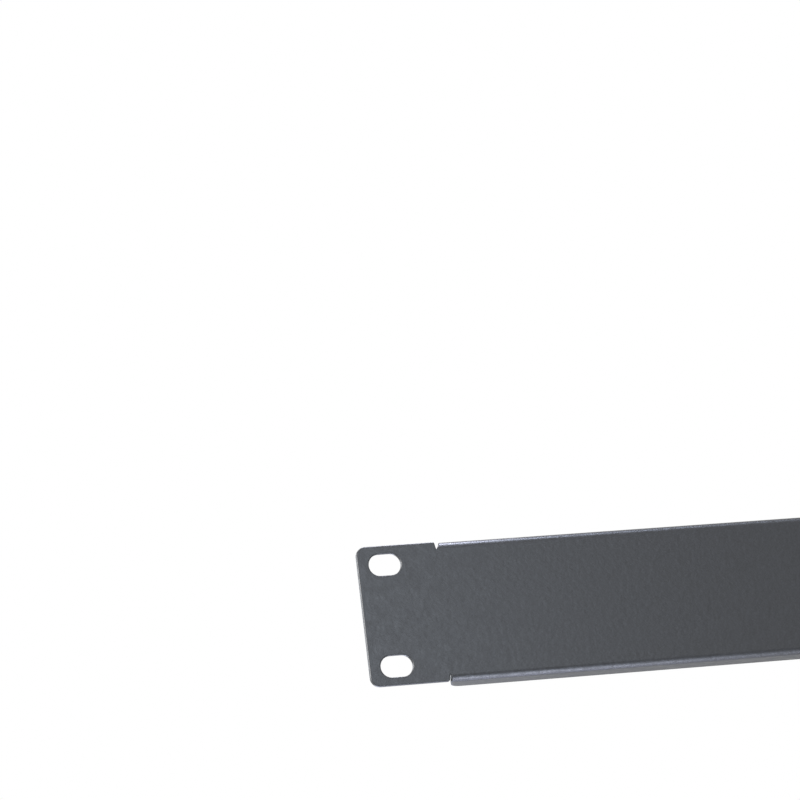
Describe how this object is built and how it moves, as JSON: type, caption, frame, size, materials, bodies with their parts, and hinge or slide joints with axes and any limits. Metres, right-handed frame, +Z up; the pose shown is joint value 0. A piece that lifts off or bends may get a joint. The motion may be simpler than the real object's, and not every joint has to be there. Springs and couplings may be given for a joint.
{
  "type": "rack blanking panel",
  "caption": "Slim black powder-coated steel blanking panel for a 19-inch rack, folded back along its top and bottom edges, with a slotted flat ear at each end.",
  "frame": {"origin": "centre of the four-slot pattern, in the plane of the ears' rear face, which seats on the rack's rails", "axes": "+X across the panel to the right as seen from its front, +Z up, and the front face looks towards -Y, so +Y points into the rack"},
  "size_m": [0.4826, 0.0113, 0.0436],
  "materials": {
    "powder_coat": "fine-textured black powder coat on steel sheet, semi-matt"
  },
  "bodies": {
    "root": {"blanking_panel": "powder_coat"}
  },
  "joints": []
}
